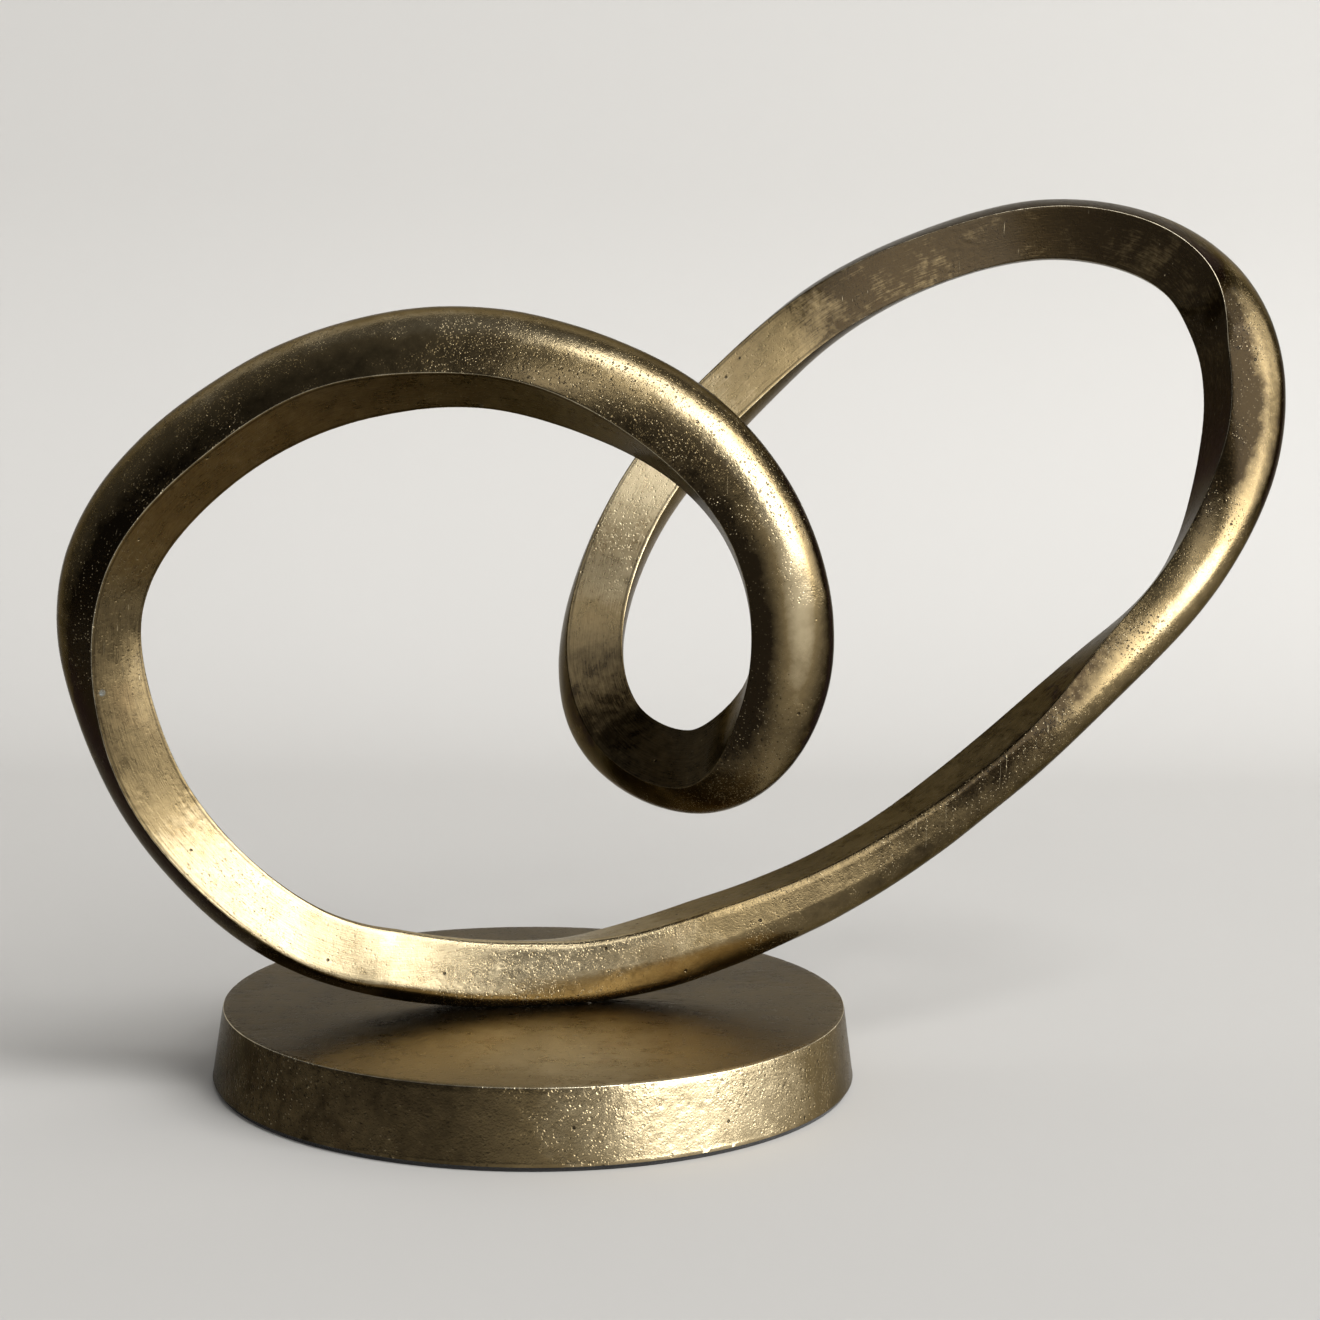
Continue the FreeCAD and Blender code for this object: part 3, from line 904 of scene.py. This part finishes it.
baseValues = {
    "diameter": 0.200,
    "draft": 0.0032,
    "chamfer": 0.0005,
    "segments": 560,
    "underRings": 8,
    "rimRings": 24,
    "edgeSteps": 4,
    "topRings": 44,
    # the base's patina, with a painted reflection of light on the top's front and a painted highlight on the
    # rim
    "topPatina": -0.34,
    "topReflectionPlace": (0.005, -0.062),
    "topReflectionReach": 0.048,
    "topReflectionLift": 0.58,
    "rimPatina": -0.34,
    "rimHighlightLift": 0.7,
    "brightestAngle": -1.10,
}


def turnedMesh(name, outline, segments, masks, levelsMove=1.0):
    # closed turned shape from an outline of radius and height, first and last points on the axis;
    # levelsMove is how far the relief may move its level faces
    angles = np.linspace(0, 2 * math.pi, segments, endpoint=False)
    vertices = [(0, 0, outline[0][1])]
    for radius, height in outline[1:-1]:
        vertices += [(radius * math.cos(a), radius * math.sin(a), height) for a in angles]
    vertices.append((0, 0, outline[-1][1]))
    faces = []
    rings = len(outline) - 2
    for j in range(segments):
        k = (j + 1) % segments
        faces.append((0, 1 + k, 1 + j))
        for i in range(rings - 1):
            low, high = 1 + i * segments, 1 + (i + 1) * segments
            faces.append((low + j, low + k, high + k, high + j))
        last = 1 + (rings - 1) * segments
        faces.append((last + j, last + k, len(vertices) - 1))
    mesh = bpy.data.meshes.new(name)
    mesh.from_pydata(vertices, [], faces)
    around = np.concatenate([[0], np.tile(angles, rings), [0]])
    for maskName, values in masks.items():
        spread = np.concatenate([[values[0]], np.repeat(values[1:-1], segments), [values[-1]]])
        writeFloats(mesh, maskName, spread)
    plain = np.array([(v[0], v[1], 0) for v in vertices])
    writeVectors(mesh, "onSkin", plain)
    run = np.gradient(np.array(outline), axis=0)
    run /= np.maximum(np.linalg.norm(run, axis=1), 1e-9)[:, None]
    leanOut = np.concatenate([[0], np.repeat(run[1:-1, 1], segments), [0]])
    leanUp = np.concatenate([[-1], np.repeat(-run[1:-1, 0], segments), [1]]) * levelsMove
    outward = np.column_stack([leanOut * np.cos(around), leanOut * np.sin(around), leanUp])
    writeVectors(mesh, "outward", outward)
    return addObject(name, mesh)


def makeBase():
    # outline from the middle of the underside round the rim to the middle of the top, and its masks
    low = baseValues["diameter"] / 2
    high = low - baseValues["draft"]
    chamfer = baseValues["chamfer"]
    bottom = padThickness
    underRings, rimRings, edgeSteps, topRings = (
        baseValues[k] for k in ("underRings", "rimRings", "edgeSteps", "topRings"))
    below = [(low * 0.98 * i / underRings, bottom) for i in range(underRings + 1)]
    below += [(low - chamfer, bottom), (low - chamfer * 0.3, bottom + chamfer * 0.3), (low, bottom + chamfer)]
    for i in range(1, rimRings):
        height = bottom + chamfer + (baseThickness - 2 * chamfer) * (i / rimRings)
        below.append((low - baseValues["draft"] * (height - bottom) / baseThickness, height))
    points = [(radius, height, 0.0, 0.0) for radius, height in below]
    for i in range(edgeSteps + 1):
        angle = math.pi / 2 * i / edgeSteps
        radius = high - chamfer + chamfer * math.cos(angle)
        height = baseTop - chamfer + chamfer * math.sin(angle)
        points.append((radius, height, 0.0, 1 - abs(i - edgeSteps / 2) * 0.3))
    points += [((high - chamfer) * (1 - i / topRings), baseTop, 1.0, 0.0) for i in range(1, topRings + 1)]
    outline = [p[:2] for p in points]
    masks = {"flatMask": np.array([p[2] for p in points]), "edgeMask": np.array([p[3] for p in points]),
             "patina": np.zeros(len(points))}
    return turnedMesh("knot_base", outline, baseValues["segments"], masks)


def paintBaseLight(obj):
    # painted light by place: painted highlight on the rim's front right, painted shade round it, painted
    # reflection on the top's front
    mesh = obj.data
    places = np.empty(3 * len(mesh.vertices))
    mesh.vertices.foreach_get("co", places)
    angles = np.arctan2(places[1::3], places[0::3]) - baseValues["brightestAngle"]
    # painted highlight on the rim, painted shade round it
    rim = baseValues["rimPatina"] + baseValues["rimHighlightLift"] * np.maximum(np.cos(angles), 0) ** 6
    reflectionX, reflectionY = baseValues["topReflectionPlace"]
    # painted reflection of light on the top's front
    fromReflection = np.hypot(places[0::3] - reflectionX, places[1::3] - reflectionY) / baseValues["topReflectionReach"]
    top = baseValues["topPatina"] + baseValues["topReflectionLift"] * np.exp(-fromReflection**2)
    onTop = np.empty(len(mesh.vertices))
    mesh.attributes["flatMask"].data.foreach_get("value", onTop)
    patina = onTop * top + (1 - onTop) * rim
    mesh.attributes["patina"].data.foreach_set("value", patina.astype(np.float32))


basePiece = makeBase()
paintBaseLight(basePiece)
bakeTree(basePiece, reliefTree, {
    "Wave Depth": 0.0004, "Wave Size": 0.07, "Ripple Depth": 0.00003, "Ripple Size": 0.008,
    "Pit Depth": 0.00012, "Pit Size": 0.0022, "Pit Cover": 0.5, "Lowest Height": padThickness,
    "Seed": (0.3, 0.1, 0.5), "Finish": baseBrass})
keepPiece(basePiece, "base_brass", "base_disc")


padValues = {
    "inset": 0.001,
    "wobble": 0.0005,
    "lowBevel": 0.0003,
    "highBevel": 0.0002,
    "segments": 360,
}


def makePad():
    radius = baseValues["diameter"] / 2 - padValues["inset"]
    lowBevel, highBevel = padValues["lowBevel"], padValues["highBevel"]
    points = [(radius * 0.9 * i / 4, 0.0) for i in range(5)]
    points += [(radius - lowBevel, 0.0), (radius, lowBevel)]
    points += [(radius, padThickness - highBevel), (radius - highBevel, padThickness)]
    points += [(radius * (0.9 - 0.9 * i / 4), padThickness) for i in range(5)]
    return turnedMesh("knot_pad", points, padValues["segments"], {"flatMask": np.zeros(len(points))}, 0.0)


padPiece = makePad()
bakeTree(padPiece, reliefTree, {
    "Wave Depth": padValues["wobble"], "Wave Size": 0.02, "Ripple Depth": 0.0002, "Ripple Size": 0.002,
    "Pit Depth": 0.0, "Lowest Height": 0.0, "Finish": felt})
keepPiece(padPiece, "pad_black", "base_pad")
for node in ("base_screws", "washers"):
    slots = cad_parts[node].data.materials
    if not slots:
        slots.append(None)
    for slotIndex in range(len(slots)):
        slots[slotIndex] = steel
print("base made")


stageValues = {
    "floorColour": linear(205, 203, 199),
    "floorReach": 1.6,
    "frontEdge": -2.2,
    "wallDistance": 0.9,
    "wallHeight": 2.4,
    "bend": 0.35,
    "roomGrey": (0.14, 0.14, 0.145),
}


def makeStage():
    # one sheet that runs back along the floor and curves up behind the object
    wall, bend, reach = (stageValues[k] for k in ("wallDistance", "bend", "floorReach"))
    side = [(stageValues["frontEdge"], 0.0), (wall - bend, 0.0)]
    side += [(wall - bend + bend * math.sin(a), bend - bend * math.cos(a))
             for a in np.linspace(0, math.pi / 2, 17)[1:]]
    side.append((wall, stageValues["wallHeight"]))
    vertices = [(x, y, z) for y, z in side for x in (-reach, reach)]
    faces = [(2 * i, 2 * i + 1, 2 * i + 3, 2 * i + 2) for i in range(len(side) - 1)]
    mesh = bpy.data.meshes.new("studioSweep")
    mesh.from_pydata(vertices, [], faces)
    mesh.polygons.foreach_set("use_smooth", [True] * len(faces))
    sweep = addObject("studioSweep", mesh)
    material, bench = startMaterial("sweepPaper")
    where = bench.add("ShaderNodeTexCoord", None, None, "Object")
    colour = bench.mixColour(bench.noise(where, 1.5, 2.0), stageValues["floorColour"],
                             tuple(c * 0.94 for c in stageValues["floorColour"]))
    finishMaterial(bench, {"Base Color": colour, "Roughness": 0.9, "Specular IOR Level": 0.1})
    mesh.materials.append(material)


makeStage()

# name, place, aim, size and power in watts
lampValues = [
    ("keySoftbox", (4.15, -3.35, 2.50), (0.0, 0.0, 0.12), (4.2, 5.4), 450.0),
    ("sideSoftbox", (5.30, -0.75, 1.10), (0.0, 0.0, 0.12), (4.0, 2.1), 104.0),
    ("topSoftbox", (2.15, -2.25, 5.90), (0.0, 0.0, 0.20), (2.2, 2.2), 100.0),
    ("frontSoftbox", (0.50, -5.20, 4.00), (0.0, 0.0, 0.10), (2.0, 1.8), 32.0),
]


def addLamps():
    for name, place, aim, size, power in lampValues:
        data = bpy.data.lights.new(name, "AREA")
        data.shape = "RECTANGLE"
        data.size, data.size_y = size
        data.energy = power
        lamp = addObject(name, data)
        lamp.location = place
        lamp.rotation_euler = (Vector(aim) - Vector(place)).to_track_quat("-Z", "Y").to_euler()
    world = bpy.data.worlds.new("studioWorld")
    world.use_nodes = True
    world.node_tree.nodes.clear()
    bench = Bench(world.node_tree)
    room = bench.add("ShaderNodeBackground", None, {"Color": stageValues["roomGrey"], "Strength": 1.0})
    bench.add("ShaderNodeOutputWorld", None, {"Surface": room})
    bpy.context.scene.world = world


addLamps()
bpy.context.scene.view_settings.view_transform = "Standard"
print("stage and lamps set")
